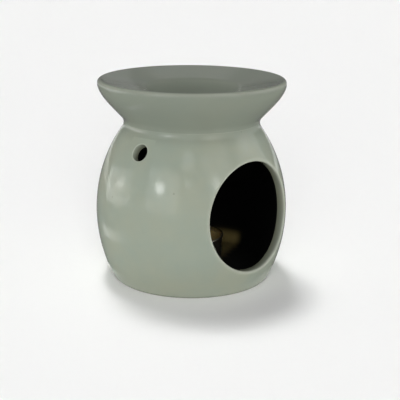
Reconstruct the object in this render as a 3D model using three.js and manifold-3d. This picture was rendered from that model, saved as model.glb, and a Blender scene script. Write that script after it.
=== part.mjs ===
// Ceramic oil burner: a pear-shaped tealight chamber under a flared oil dish.
// Millimetres, +Z up. The origin is the centre of the foot, on the surface the burner stands on.
// The oval opening for the tealight faces -Y.
import * as THREE from "three";
import { mergeVertices } from "three/addons/utils/BufferGeometryUtils.js";
import Module from "manifold-3d";

const wasm = await Module();
wasm.setup();

// Overall sizes
const HEIGHT = 115;
const WALL = 5;
const SEAM_GAP = 0.3;

// Chamber: two arcs that meet at the belly, on a foot ring
const BELLY_RADIUS = 55;
const BELLY_HEIGHT = 39.5;
const LOWER_ARC_RADIUS = 88;
const UPPER_ARC_RADIUS = 82.9;
const FOOT_OUTER_RADIUS = 44.6;
const FOOT_INNER_RADIUS = 38;
const FOOT_CORNER_HEIGHT = 3;
const FOOT_CORNER_REACH = 1.4;
const FOOT_RECESS = 1.8;
const FLOOR_TOP = 6.5;
const FLOOR_FILLET = 6;
const FLOOR_FILLET_REACH = 1.5;

// Neck: the sharp meeting point of belly arc and dish cone, eased by a fillet
const NECK_HEIGHT = 90.8;
const NECK_FILLET = 4.8;
const NECK_BORE_RADIUS = 33.5;

// Oval opening, cut level through the wall, and round vents, cut square to it
const OPENING_HALF_WIDTH = 29.8;
const OPENING_HALF_HEIGHT = 30.5;
const OPENING_HEIGHT = 44;
const VENT_RADIUS = 4.9;
const VENT_HEIGHT = 79.7;
const VENT_TURNS_DEG = [-83, 83, 180];

// Dish: cone, curved side, rounded lip, sloping flange and round well
const CONE_SLOPE = 0.93;
const CONE_TOP = 100.7;
const RIM_RADIUS = 53.4;
const LIP_RADIUS = 2;
const FLANGE_SLOPE_DEG = 11.5;
const WELL_EDGE_RADIUS = 27;
const WELL_EDGE_FILLET = 2.5;
const WELL_DEPTH = 13;
const DISH_WALL = 4.5;
const HOLLOW_TIP_HEIGHT = 109.8;
const HOLLOW_TIP_EASE = 4;

// Tealight: cup, wax, wick and the tab that holds the wick, in heights above the cup's base
const FIT_GAP = 0.3;
const CUP_RADIUS = 19;
const CUP_FOOT_RADIUS = 17.9;
const CUP_CORNER = 1;
const CUP_HEIGHT = 16.5;
const CUP_WALL = 0.5;
const CUP_BEAD_RADIUS = 0.6;
const WAX_TOP = 14.1;
const TAB_RADIUS = 6;
const TAB_THICKNESS = 0.4;
const COLLAR_WALL = 0.5;
const COLLAR_HEIGHT = 5;
const WICK_RADIUS = 0.9;
const WICK_ABOVE_WAX = 8;
const WICK_TIP = 0.4;

// Facets round the axis
const BODY_SEGMENTS = 64;
const OPENING_SEGMENTS = 48;
const VENT_SEGMENTS = 20;
const CUP_SEGMENTS = 48;
const TAB_SEGMENTS = 24;
const WICK_SEGMENTS = 12;

const FLANGE_SLOPE = THREE.MathUtils.degToRad(FLANGE_SLOPE_DEG);

const finishes = {
  glaze: { color: 0x98a093, roughness: 0.12, metalness: 0 },
  foil: { color: 0xc4c6c8, roughness: 0.35, metalness: 1 },
  steel: { color: 0x9a9ca0, roughness: 0.4, metalness: 1 },
  wax: { color: 0xf0ece0, roughness: 0.5, metalness: 0 },
  cotton: { color: 0xe8e2d2, roughness: 0.95, metalness: 0 },
};

// Outlines: lists of points, each a radius and a height

const point = (radius, height) => new THREE.Vector2(radius, height);

// Points along an arc, from one angle to another. Angle 0 points away from the axis.
function arc(centre, radius, from, to, steps) {
  return Array.from({ length: steps + 1 }, (_, i) => {
    const angle = from + ((to - from) * i) / steps;
    return point(Math.cos(angle), Math.sin(angle)).multiplyScalar(radius).add(centre);
  });
}

// A rounded corner: a quadratic curve between two points, pulled towards the sharp corner.
function roundedCorner(from, corner, to, steps) {
  return new THREE.QuadraticBezierCurve(from, corner, to).getPoints(steps);
}

// Radius of the chamber wall at a height, at an inset square to its outer face.
function wallRadius(height, inset = 0) {
  const arcRadius = height < BELLY_HEIGHT ? LOWER_ARC_RADIUS : UPPER_ARC_RADIUS;
  const reach = Math.sqrt((arcRadius - inset) ** 2 - (height - BELLY_HEIGHT) ** 2);
  return BELLY_RADIUS - arcRadius + reach;
}

// Height at which the inset upper wall has come in to a radius.
function wallHeight(radius, inset) {
  const reach = radius - BELLY_RADIUS + UPPER_ARC_RADIUS;
  return BELLY_HEIGHT + Math.sqrt((UPPER_ARC_RADIUS - inset) ** 2 - reach ** 2);
}

// The chamber wall at an inset, from a lower height over the belly to an upper height.
function wallOutline(lower, upper, inset, lowerSteps, upperSteps) {
  const half = (arcRadius, from, to, steps) => {
    const radius = arcRadius - inset;
    const angle = (height) => Math.asin((height - BELLY_HEIGHT) / radius);
    return arc(point(BELLY_RADIUS - arcRadius, BELLY_HEIGHT), radius, angle(from), angle(to), steps);
  };
  return [
    ...half(LOWER_ARC_RADIUS, lower, BELLY_HEIGHT, lowerSteps),
    ...half(UPPER_ARC_RADIUS, BELLY_HEIGHT, upper, upperSteps).slice(1),
  ];
}

// The neck fillet in two halves, the chamber's below the seam and the dish's above it.
function neckFillet(stepsEachSide) {
  const corner = point(wallRadius(NECK_HEIGHT), NECK_HEIGHT);
  const lean = (NECK_HEIGHT - BELLY_HEIGHT) / (corner.x - BELLY_RADIUS + UPPER_ARC_RADIUS);
  const below = point(lean, -1).setLength(NECK_FILLET).add(corner);
  const above = point(CONE_SLOPE, 1).setLength(NECK_FILLET).add(corner);
  const curve = roundedCorner(below, corner, above, 2 * stepsEachSide);
  return {
    below: curve.slice(0, stepsEachSide),
    seam: curve[stepsEachSide],
    above: curve.slice(stepsEachSide + 1),
  };
}

const neck = neckFillet(3);

// Foot ring, outer wall, neck face, bore, inner wall and floor.
function chamberOutline() {
  const footEdge = point(FOOT_OUTER_RADIUS, 0);
  const footCorner = point(FOOT_OUTER_RADIUS + FOOT_CORNER_REACH, 0);
  const footTop = point(wallRadius(FOOT_CORNER_HEIGHT), FOOT_CORNER_HEIGHT);
  const floorEdge = FLOOR_TOP + FLOOR_FILLET;
  const innerRadius = wallRadius(floorEdge, WALL);
  const neckFace = neck.seam.y - SEAM_GAP / 2;
  return [
    point(0, FOOT_RECESS),
    point(FOOT_INNER_RADIUS - FOOT_RECESS, FOOT_RECESS),
    point(FOOT_INNER_RADIUS, 0),
    ...roundedCorner(footEdge, footCorner, footTop, 3),
    ...wallOutline(FOOT_CORNER_HEIGHT, neck.below[0].y, 0, 5, 8).slice(1, -1),
    ...neck.below,
    point(neck.seam.x, neckFace),
    point(NECK_BORE_RADIUS, neckFace),
    ...wallOutline(floorEdge, wallHeight(NECK_BORE_RADIUS, WALL), WALL, 4, 7).reverse(),
    ...roundedCorner(
      point(innerRadius, floorEdge),
      point(innerRadius - FLOOR_FILLET_REACH, FLOOR_TOP),
      point(innerRadius - FLOOR_FILLET, FLOOR_TOP),
      4,
    ).slice(1),
    point(0, FLOOR_TOP),
  ];
}

// Height of the flange's upper face at a radius. It leaves the lip's arc at a tangent.
function flangeHeight(radius) {
  const lipEnd = RIM_RADIUS - LIP_RADIUS - LIP_RADIUS * Math.sin(FLANGE_SLOPE);
  const lipEndHeight = HEIGHT - LIP_RADIUS + LIP_RADIUS * Math.cos(FLANGE_SLOPE);
  return lipEndHeight - (lipEnd - radius) * Math.tan(FLANGE_SLOPE);
}

// The well is a cap of this sphere.
function wellSphere() {
  const radius = (WELL_EDGE_RADIUS ** 2 + WELL_DEPTH ** 2) / (2 * WELL_DEPTH);
  return { radius, centre: point(0, flangeHeight(WELL_EDGE_RADIUS) - WELL_DEPTH + radius) };
}

// Points on a sphere about the well's centre, from its lowest point out to a radius.
function bowl(sphereRadius, edgeRadius, steps) {
  const lowest = -Math.PI / 2;
  const edge = lowest + Math.asin(edgeRadius / sphereRadius);
  const points = arc(wellSphere().centre, sphereRadius, lowest, edge, steps);
  points[0].x = 0;
  return points;
}

// The dish's underside, from the axis out to the hollow's tip and down inside the cone to the seam.
function dishUnderside() {
  const underFlange = (radius) => point(radius, flangeHeight(radius) - DISH_WALL / Math.cos(FLANGE_SLOPE));
  const coneFoot = NECK_HEIGHT + (WALL * CONE_SLOPE) / Math.hypot(CONE_SLOPE, 1);
  const insideCone = (height) => point(NECK_BORE_RADIUS + CONE_SLOPE * (height - coneFoot), height);
  const tip = insideCone(HOLLOW_TIP_HEIGHT);
  return [
    ...bowl(wellSphere().radius + DISH_WALL, WELL_EDGE_RADIUS + DISH_WALL / 2, 5),
    ...roundedCorner(underFlange(tip.x - HOLLOW_TIP_EASE), tip, insideCone(tip.y - HOLLOW_TIP_EASE), 3),
    insideCone(coneFoot),
    point(NECK_BORE_RADIUS, neck.seam.y + SEAM_GAP / 2),
  ];
}

// The dish from the seam up its outer side, over the lip, along the flange and down the well.
function dishUpperSide() {
  const coneEnd = point(wallRadius(NECK_HEIGHT) + CONE_SLOPE * (CONE_TOP - NECK_HEIGHT), CONE_TOP);
  const sideCorner = point(RIM_RADIUS, CONE_TOP + (RIM_RADIUS - coneEnd.x) / CONE_SLOPE);
  const lipCentre = point(RIM_RADIUS - LIP_RADIUS, HEIGHT - LIP_RADIUS);
  const lipTop = Math.PI / 2;
  const lip = [
    ...arc(lipCentre, LIP_RADIUS, 0, lipTop, 4),
    ...arc(lipCentre, LIP_RADIUS, lipTop, lipTop + FLANGE_SLOPE, 1).slice(1),
  ];
  const easeStart = WELL_EDGE_RADIUS + WELL_EDGE_FILLET;
  const well = bowl(wellSphere().radius, WELL_EDGE_RADIUS - WELL_EDGE_FILLET, 5).reverse();
  return [
    point(neck.seam.x, neck.seam.y + SEAM_GAP / 2),
    ...neck.above,
    ...roundedCorner(coneEnd, sideCorner, lip[0], 5),
    ...lip.slice(1),
    ...roundedCorner(
      point(easeStart, flangeHeight(easeStart)),
      point(WELL_EDGE_RADIUS, flangeHeight(WELL_EDGE_RADIUS)),
      well[0],
      3,
    ),
    ...well.slice(1),
  ];
}

// Radius of the cup's inner face at a height above its base.
function cupBore(height) {
  const foot = CUP_FOOT_RADIUS - CUP_WALL;
  const top = CUP_RADIUS - 2 * CUP_BEAD_RADIUS;
  return foot + ((top - foot) * (height - CUP_CORNER)) / (CUP_HEIGHT - CUP_BEAD_RADIUS - CUP_CORNER);
}

// A pressed cup with a slight draft and a rolled bead round its mouth.
function cupOutline() {
  const beadCentre = point(CUP_RADIUS - CUP_BEAD_RADIUS, CUP_HEIGHT - CUP_BEAD_RADIUS);
  return [
    point(0, 0),
    ...roundedCorner(
      point(CUP_FOOT_RADIUS - CUP_CORNER, 0),
      point(CUP_FOOT_RADIUS, 0),
      point(CUP_FOOT_RADIUS, CUP_CORNER),
      2,
    ),
    ...arc(beadCentre, CUP_BEAD_RADIUS, -Math.PI / 2, Math.PI, 6),
    point(cupBore(CUP_CORNER), CUP_CORNER),
    point(cupBore(CUP_CORNER) - CUP_WALL, CUP_WALL),
    point(0, CUP_WALL),
  ];
}

// A wax disc that fills the cup, bored for the wick and relieved below for the tab and its collar.
function waxOutline() {
  const base = CUP_WALL + FIT_GAP;
  const tabTop = base + TAB_THICKNESS;
  const collarBore = WICK_RADIUS + 2 * FIT_GAP + COLLAR_WALL;
  return [
    point(TAB_RADIUS + FIT_GAP, base),
    point(cupBore(CUP_CORNER) - CUP_CORNER, base),
    point(cupBore(CUP_CORNER) - FIT_GAP, base + CUP_CORNER),
    point(cupBore(WAX_TOP) - FIT_GAP, WAX_TOP),
    point(WICK_RADIUS + FIT_GAP, WAX_TOP),
    point(WICK_RADIUS + FIT_GAP, tabTop + COLLAR_HEIGHT + FIT_GAP),
    point(collarBore, tabTop + COLLAR_HEIGHT + FIT_GAP),
    point(collarBore, tabTop + FIT_GAP),
    point(TAB_RADIUS + FIT_GAP, tabTop + FIT_GAP),
    point(TAB_RADIUS + FIT_GAP, base),
  ];
}

// A flat tab with a collar that stands round the wick.
function sustainerOutline() {
  const base = CUP_WALL + FIT_GAP;
  const tabTop = base + TAB_THICKNESS;
  const bore = WICK_RADIUS + FIT_GAP;
  return [
    point(bore, base),
    point(TAB_RADIUS, base),
    point(TAB_RADIUS, tabTop),
    point(bore + COLLAR_WALL, tabTop),
    point(bore + COLLAR_WALL, tabTop + COLLAR_HEIGHT),
    point(bore, tabTop + COLLAR_HEIGHT),
    point(bore, base),
  ];
}

function wickOutline() {
  const top = WAX_TOP + WICK_ABOVE_WAX;
  return [
    point(0, CUP_WALL + FIT_GAP),
    point(WICK_RADIUS, CUP_WALL + FIT_GAP),
    point(WICK_RADIUS, top - WICK_TIP),
    point(WICK_RADIUS - WICK_TIP, top),
    point(0, top),
  ];
}

// Solids

// A closed solid of revolution about Z from an outline.
function revolve(outline, segments) {
  return new THREE.LatheGeometry(outline, segments).rotateX(Math.PI / 2);
}

// A level bar of oval section from the axis out through the wall, towards -Y.
function openingCutter() {
  const section = new THREE.Shape();
  section.absellipse(0, 0, OPENING_HALF_WIDTH, OPENING_HALF_HEIGHT, 0, 2 * Math.PI);
  const depth = BELLY_RADIUS + WALL;
  return new THREE.ExtrudeGeometry(section, { depth, curveSegments: OPENING_SEGMENTS, bevelEnabled: false })
    .rotateX(Math.PI / 2)
    .translate(0, 0, OPENING_HEIGHT);
}

// A round bar through the wall and square to it, on the side at a turn about Z from -Y.
function ventCutter(turnDeg) {
  const rise = Math.asin((VENT_HEIGHT - BELLY_HEIGHT) / UPPER_ARC_RADIUS);
  return new THREE.CylinderGeometry(VENT_RADIUS, VENT_RADIUS, 3 * WALL, VENT_SEGMENTS)
    .rotateX(-rise)
    .translate(0, -wallRadius(VENT_HEIGHT), VENT_HEIGHT)
    .rotateZ(THREE.MathUtils.degToRad(turnDeg));
}

function toSolid(geometry) {
  const plain = geometry.clone();
  plain.deleteAttribute("normal");
  plain.deleteAttribute("uv");
  const merged = mergeVertices(plain, 1e-4);
  const vertProperties = merged.attributes.position.array;
  return new wasm.Manifold(
    new wasm.Mesh({ numProp: 3, vertProperties, triVerts: new Uint32Array(merged.index.array) }),
  );
}

function toGeometry(solid) {
  const mesh = solid.getMesh();
  return new THREE.BufferGeometry()
    .setAttribute("position", new THREE.BufferAttribute(mesh.vertProperties, 3))
    .setIndex(new THREE.BufferAttribute(mesh.triVerts, 1));
}

// The chamber casting with its oval opening and its vents cut through the wall.
function chamberBody() {
  const cutters = [openingCutter(), ...VENT_TURNS_DEG.map(ventCutter)];
  const blank = toSolid(revolve(chamberOutline(), BODY_SEGMENTS));
  return toGeometry(cutters.reduce((body, cutter) => body.subtract(toSolid(cutter)), blank));
}

function namedMesh(name, geometry, finish) {
  const mesh = new THREE.Mesh(geometry, new THREE.MeshStandardMaterial(finish));
  mesh.name = name;
  return mesh;
}

// The tealight stands in the middle of the chamber floor.
function tealight() {
  const pieces = new THREE.Group();
  pieces.add(
    namedMesh("tealight_cup", revolve(cupOutline(), CUP_SEGMENTS), finishes.foil),
    namedMesh("tealight_wax", revolve(waxOutline(), CUP_SEGMENTS), finishes.wax),
    namedMesh("wick_sustainer", revolve(sustainerOutline(), TAB_SEGMENTS), finishes.steel),
    namedMesh("wick", revolve(wickOutline(), WICK_SEGMENTS), finishes.cotton),
  );
  pieces.position.z = FLOOR_TOP + FIT_GAP;
  return pieces;
}

const burner = new THREE.Group();
burner.add(
  namedMesh("chamber_body", chamberBody(), finishes.glaze),
  namedMesh("dish", revolve([...dishUnderside(), ...dishUpperSide()], BODY_SEGMENTS), finishes.glaze),
  tealight(),
);

export default burner;
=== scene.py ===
"""A glazed ceramic oil burner with its tealight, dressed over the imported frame.

The ceramic is two pieces that meet in the crease of the neck: the chamber with its oval opening and
round vents, and the flared dish. Both are worked out as arrays of points with their true normals, so
that the gloss runs unbroken over the seams. The tealight is a pressed foil cup, a poured wax disc,
a braided wick and the tab that holds it.

Lengths are metres, +Z is up, and the oval opening faces -Y.
"""

import logging
from dataclasses import dataclass, field
from enum import Enum

import bpy
import numpy as np
from mathutils import Matrix, Vector


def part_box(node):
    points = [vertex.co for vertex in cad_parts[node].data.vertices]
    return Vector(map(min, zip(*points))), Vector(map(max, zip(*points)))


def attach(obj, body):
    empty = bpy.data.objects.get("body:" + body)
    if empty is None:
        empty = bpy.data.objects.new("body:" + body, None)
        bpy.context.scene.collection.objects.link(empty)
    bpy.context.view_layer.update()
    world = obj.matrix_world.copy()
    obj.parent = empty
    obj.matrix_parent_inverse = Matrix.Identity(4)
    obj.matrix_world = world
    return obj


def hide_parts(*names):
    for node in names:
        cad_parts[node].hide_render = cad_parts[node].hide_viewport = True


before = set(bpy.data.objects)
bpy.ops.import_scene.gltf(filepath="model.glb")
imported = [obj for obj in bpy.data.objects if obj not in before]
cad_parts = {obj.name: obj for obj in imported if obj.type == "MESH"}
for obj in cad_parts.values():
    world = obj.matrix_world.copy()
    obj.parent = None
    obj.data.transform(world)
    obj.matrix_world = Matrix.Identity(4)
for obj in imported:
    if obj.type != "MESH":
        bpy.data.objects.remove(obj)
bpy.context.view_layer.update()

Array = np.ndarray
Colour = tuple[float, float, float]
Point = tuple[float, float]
Spot = Point | Array
Material = bpy.types.Material
Piece = bpy.types.Object
Socket = bpy.types.NodeSocket

MM = 0.001
WELD = 1e-6
PANEL_AIM = (0.0, 0.0, 50.0 * MM)
PRINCIPLED = "ShaderNodeBsdfPrincipled"
DIFFUSE = "ShaderNodeBsdfDiffuse"
LOG = logging.getLogger("oil_burner")


class Paint(Enum):
    """Values painted on the ceramic's points, which its glaze reads."""

    # Near-black painted shade on the faces inside the chamber and the dish's hollow.
    INSIDE_SHADE = "painted_inside_shade"
    # Painted olive shade: deepening through the holes' cut faces, and a line of contact shadow at the
    # foot.
    OLIVE_SHADE = "painted_olive_shade"
    # Paler glaze drawn out on edges, partly a painted highlight: on the holes' bends, the lip's crest and
    # the well's edge.
    THIN = "thin_glaze_and_highlight"
    # Deeper glaze, partly pooled and partly painted shade: in the neck's crease and over the dish,
    # deepest in the well.
    POOL_AND_SHADE = "pooled_glaze_and_shade"
    # A painted patch of warm light on the chamber's floor.
    LIGHT_PATCH = "painted_light_patch"
    BARE = "bare_clay"


class WallFace(Enum):
    """The two faces of the chamber wall, with the sign of their normals."""

    OUTSIDE = 1
    INSIDE = -1


# Outlines: arrays of (radius, height) rows


def arc(centre: Spot, radius: float, start: float, stop: float, steps: int) -> Array:
    """Spreads points evenly over an arc: the centre plus the radius times (cos, sin) of each angle.

    Args:
        centre: Centre as (radius, height).
        radius: Radius of the arc.
        start: First angle in radians, where 0 points away from the axis.
        stop: Last angle in radians.
        steps: Number of equal steps.

    Returns:
        The points, one row each.
    """
    angle = np.linspace(start, stop, steps + 1)
    return np.asarray(centre) + radius * np.column_stack([np.cos(angle), np.sin(angle)])


def eased(start: Spot, corner: Spot, stop: Spot, steps: int) -> Array:
    """Rounds a corner with a quadratic curve: (1-t)^2 start + 2t(1-t) corner + t^2 stop.

    Args:
        start: First point of the curve, or a row of first points.
        corner: The sharp corner that it is pulled towards.
        stop: Last point of the curve.
        steps: Number of equal steps of t.

    Returns:
        The points, or the rows of points.
    """
    start, corner, stop = (np.asarray(spot) for spot in (start, corner, stop))
    t = np.linspace(0.0, 1.0, steps + 1).reshape(-1, *[1] * start.ndim)
    return (1 - t) ** 2 * start + 2 * t * (1 - t) * corner + t**2 * stop


def straight(start: Spot, stop: Spot, steps: int) -> Array:
    """Spreads points, or rows of points, evenly over a straight line from start to stop."""
    return np.linspace(start, stop, steps + 1)


def joined(*runs: Array) -> Array:
    """Joins outlines end to end and drops each point that repeats the one before it.

    Args:
        runs: Outlines in order.

    Returns:
        One outline.
    """
    points = np.vstack(runs)
    moved = np.linalg.norm(np.diff(points, axis=0), axis=1) > WELD
    return points[np.concatenate([[True], moved])]


def smooth_step(low: float, high: float, value: Array) -> Array:
    """Rises from 0 at low to 1 at high as 3t^2 - 2t^3, where t is the share of the way."""
    t = np.clip((value - low) / (high - low), 0.0, 1.0)
    return t * t * (3 - 2 * t)


def bell(distance: Array, width: float) -> Array:
    """Falls from 1 at distance 0 as exp of minus the square of distance over width."""
    return np.exp(-((distance / width) ** 2))


# Meshes


@dataclass
class Patch:
    """A grid of surface points with the true normal and the painted values at each point."""

    points: Array
    normals: Array
    paint: dict[Paint, Array] = field(default_factory=dict)
    keep: Array | None = None


def revolved(outline: Array, columns: int, paint: dict[Paint, Array] | None = None) -> Patch:
    """Turns an outline about Z: (r sin a, -r cos a, z) for angles a all the way round.

    The outline has the solid on its left, so a normal is the direction of travel turned to the right.

    Args:
        outline: Smooth run of (radius, height) rows.
        columns: Number of steps round the axis.
        paint: Values along the outline.

    Returns:
        The patch, with outline points as rows.
    """
    length = np.concatenate([[0.0], np.cumsum(np.linalg.norm(np.diff(outline, axis=0), axis=1))])
    travel = np.gradient(outline, length, axis=0, edge_order=2)
    travel /= np.linalg.norm(travel, axis=1, keepdims=True)
    on_axis = outline[:, 0] < WELD
    travel[on_axis, 1] = 0.0
    angle = np.linspace(0.0, 2 * np.pi, columns + 1)
    across = np.stack([np.sin(angle), -np.cos(angle), np.zeros_like(angle)], axis=-1)
    up = np.array([0.0, 0.0, 1.0])
    points = outline[:, None, :1] * across + outline[:, None, 1:] * up
    normals = travel[:, None, 1:] * across - travel[:, None, :1] * up
    all_round = np.ones(columns + 1)
    painted = {name: np.outer(value, all_round) for name, value in (paint or {}).items()}
    return Patch(points, normals, painted)


def surface_normals(points: Array, towards: Array) -> Array:
    """Works out normals of a grid that closes on itself along its columns, as the cross product of
    the central differences down the rows and round the columns, all with one sign.

    Args:
        points: Grid of points whose last column repeats the first.
        towards: A point or a grid of points on the side that most of the normals face.

    Returns:
        Unit normals, one for each point.
    """
    ring = points[:, :-1]
    around = np.roll(ring, -1, axis=1) - np.roll(ring, 1, axis=1)
    around = np.concatenate([around, around[:, :1]], axis=1)
    down = np.gradient(points, axis=0)
    normals = np.cross(down, around)
    normals /= np.maximum(np.linalg.norm(normals, axis=-1, keepdims=True), 1e-12)
    return normals * np.sign(np.sum(normals * (towards - points)))


def placed(name: str, data: bpy.types.ID) -> Piece:
    """Adds an object to the scene.

    Args:
        name: Its name.
        data: Its mesh, light or camera.

    Returns:
        The object, at the origin.
    """
    thing = bpy.data.objects.new(name, data)
    bpy.context.scene.collection.objects.link(thing)
    return thing


@dataclass
class SkinMesh:
    """Patches that share their border points, and make one closed mesh with the normals of each."""

    name: str
    patches: list[Patch]

    def corners(self) -> Array:
        """Numbers the corners of every quad that is kept, over all patches in order.

        Returns:
            An array with four corner numbers a row.
        """
        found = []
        start = 0
        for patch in self.patches:
            shape = patch.points.shape[:2]
            index = np.arange(start, start + shape[0] * shape[1]).reshape(shape)
            quads = np.stack([index[:-1, :-1], index[:-1, 1:], index[1:, 1:], index[1:, :-1]], axis=-1)
            found.append(quads.reshape(-1, 4) if patch.keep is None else quads[patch.keep])
            start += index.size
        return np.vstack(found)

    def build(self, material: Material) -> Piece:
        """Makes the Blender object: quads turned to face their normals, points welded where patches
        meet, and a quad with two corners at one point left as a triangle.

        Args:
            material: The piece's finish.

        Returns:
            The object, at the origin.
        """
        points = np.vstack([p.points.reshape(-1, 3) for p in self.patches])
        normals = np.vstack([p.normals.reshape(-1, 3) for p in self.patches])
        corners = self.corners()
        diagonal = points[corners[:, 2]] - points[corners[:, 0]]
        other = points[corners[:, 3]] - points[corners[:, 1]]
        facing = np.sum(np.cross(diagonal, other) * normals[corners].sum(axis=1), axis=1)
        corners[facing < 0] = corners[facing < 0][:, ::-1]
        keys = np.round(points / WELD).astype(np.int64)
        _, first, welded = np.unique(keys, axis=0, return_index=True, return_inverse=True)
        faces = welded.reshape(-1)[corners]
        kept = faces != np.roll(faces, 1, axis=1)
        whole = kept.sum(axis=1) >= 3
        kept, faces, corners = kept[whole], faces[whole], corners[whole]
        used, face_points = np.unique(faces[kept], return_inverse=True)
        mesh = bpy.data.meshes.new(self.name)
        mesh.vertices.add(len(used))
        mesh.vertices.foreach_set("co", points[first[used]].astype(np.float32).ravel())
        mesh.loops.add(int(kept.sum()))
        mesh.loops.foreach_set("vertex_index", face_points.reshape(-1).astype(np.int32))
        mesh.polygons.add(len(kept))
        starts = np.concatenate([[0], np.cumsum(kept.sum(axis=1))[:-1]])
        mesh.polygons.foreach_set("loop_start", starts.astype(np.int32))
        mesh.update(calc_edges=True)
        mesh.shade_smooth()
        mesh.normals_split_custom_set(normals[corners[kept]])
        for name in Paint:
            self.paint(mesh, name, first[used])
        mesh.materials.append(material)
        return placed(self.name, mesh)

    def paint(self, mesh: bpy.types.Mesh, name: Paint, chosen: Array) -> None:
        """Writes one painted value to the mesh's points, where any patch has it.

        Args:
            mesh: The mesh that was made of the patches.
            name: The painted value.
            chosen: For each point of the mesh, its number over all patches.
        """
        if not any(name in p.paint for p in self.patches):
            return
        blank = [np.zeros(p.points.shape[:2]) for p in self.patches]
        values = np.concatenate([p.paint.get(name, b).ravel() for p, b in zip(self.patches, blank)])
        attribute = mesh.attributes.new(name.value, "FLOAT", "POINT")
        attribute.data.foreach_set("value", values[chosen].astype(np.float32))


# Finishes


class NodeTree:
    """A node tree, with short ways to add and join its nodes."""

    def __init__(self, tree: bpy.types.NodeTree) -> None:
        """Takes the tree that nodes are added to."""
        self.tree = tree

    def node(self, kind: str, inputs: dict | None = None, **settings: object) -> bpy.types.Node:
        """Adds a node, sets its own settings and fills its inputs.

        Args:
            kind: Blender's name for the node's type.
            inputs: Input name or number to a value, or to another node's output to join it to.
            settings: The node's own settings.

        Returns:
            The node.
        """
        made = self.tree.nodes.new(kind)
        for key, value in settings.items():
            setattr(made, key, value)
        for key, value in (inputs or {}).items():
            if isinstance(value, Socket):
                self.tree.links.new(value, made.inputs[key])
            else:
                made.inputs[key].default_value = value
        return made

    def maths(self, operation: str, *values: Socket | float) -> Socket:
        """Adds one sum on numbers or outputs and gives its result."""
        return self.node("ShaderNodeMath", dict(enumerate(values)), operation=operation).outputs[0]

    def ramp(self, value: Socket, stop: float, level: float) -> Socket:
        """Rises smoothly from 0 at 0 to a level at a stop."""
        inputs = {0: value, "From Max": stop, "To Max": level}
        return self.node("ShaderNodeMapRange", inputs, interpolation_type="SMOOTHSTEP").outputs[0]


class Shader(NodeTree):
    """The nodes of a material."""

    def __init__(self, name: str) -> None:
        """Starts a material that holds only its output.

        Args:
            name: The material's name.
        """
        self.material = bpy.data.materials.new(name)
        self.material.use_nodes = True
        super().__init__(self.material.node_tree)
        self.tree.nodes.clear()
        self.output = self.tree.nodes.new("ShaderNodeOutputMaterial")

    def place(self) -> Socket:
        """Gives the point's place on the object, in metres."""
        return self.node("ShaderNodeTexCoord").outputs["Object"]

    def noise(self, scale: float, detail: float = 2.0, roughness: float = 0.5) -> Socket:
        """Gives a soft noise of about 0 to 1 over the object.

        Args:
            scale: Number of features in a metre.
            detail: Number of finer layers.
            roughness: Weight of the finer layers.

        Returns:
            The noise's factor.
        """
        inputs = {"Vector": self.place(), "Scale": scale, "Detail": detail, "Roughness": roughness}
        return self.node("ShaderNodeTexNoise", inputs).outputs["Fac"]

    def painted(self, name: Paint) -> Socket:
        """Gives a value that is painted on the mesh."""
        return self.node("ShaderNodeAttribute", attribute_name=name.value).outputs["Fac"]

    def scaled(self, value: Socket, low: float, high: float) -> Socket:
        """Maps a value of 0 to 1 to the range from low to high, and holds it there."""
        inputs = {0: value, "To Min": low, "To Max": high}
        return self.node("ShaderNodeMapRange", inputs).outputs["Result"]

    def windowed(self, value: Socket, low: float, high: float) -> Socket:
        """Maps a value from low to high on to 0 to 1, and holds it there."""
        inputs = {0: value, "From Min": low, "From Max": high}
        return self.node("ShaderNodeMapRange", inputs).outputs["Result"]

    def mixed(self, share: Socket, first: Socket | Colour, second: Socket | Colour) -> Socket:
        """Mixes two colours, each numbers or an output.

        Args:
            share: Share of the second colour.
            first: The first colour.
            second: The second colour.

        Returns:
            The mixed colour.
        """
        colours = [c if isinstance(c, Socket) else (*c, 1.0) for c in (first, second)]
        inputs = {"Factor": share, 6: colours[0], 7: colours[1]}
        return self.node("ShaderNodeMix", inputs, data_type="RGBA").outputs[2]

    def varied(self, share: Socket, colour: Colour, factor: float) -> Socket:
        """Mixes a colour with itself times a factor."""
        return self.mixed(share, colour, tuple(factor * c for c in colour))

    def bumped(self, height: Socket, strength: Socket | float, distance: float, **more: Socket) -> Socket:
        """Gives the normal as a height bends it."""
        inputs = {"Height": height, "Strength": strength, "Distance": distance, **more}
        return self.node("ShaderNodeBump", inputs).outputs[0]

    def finish(self, kind: str, inputs: dict) -> Material:
        """Adds the surface's own node, joins it to the output and gives the material."""
        self.tree.links.new(self.node(kind, inputs).outputs[0], self.output.inputs["Surface"])
        return self.material


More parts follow.
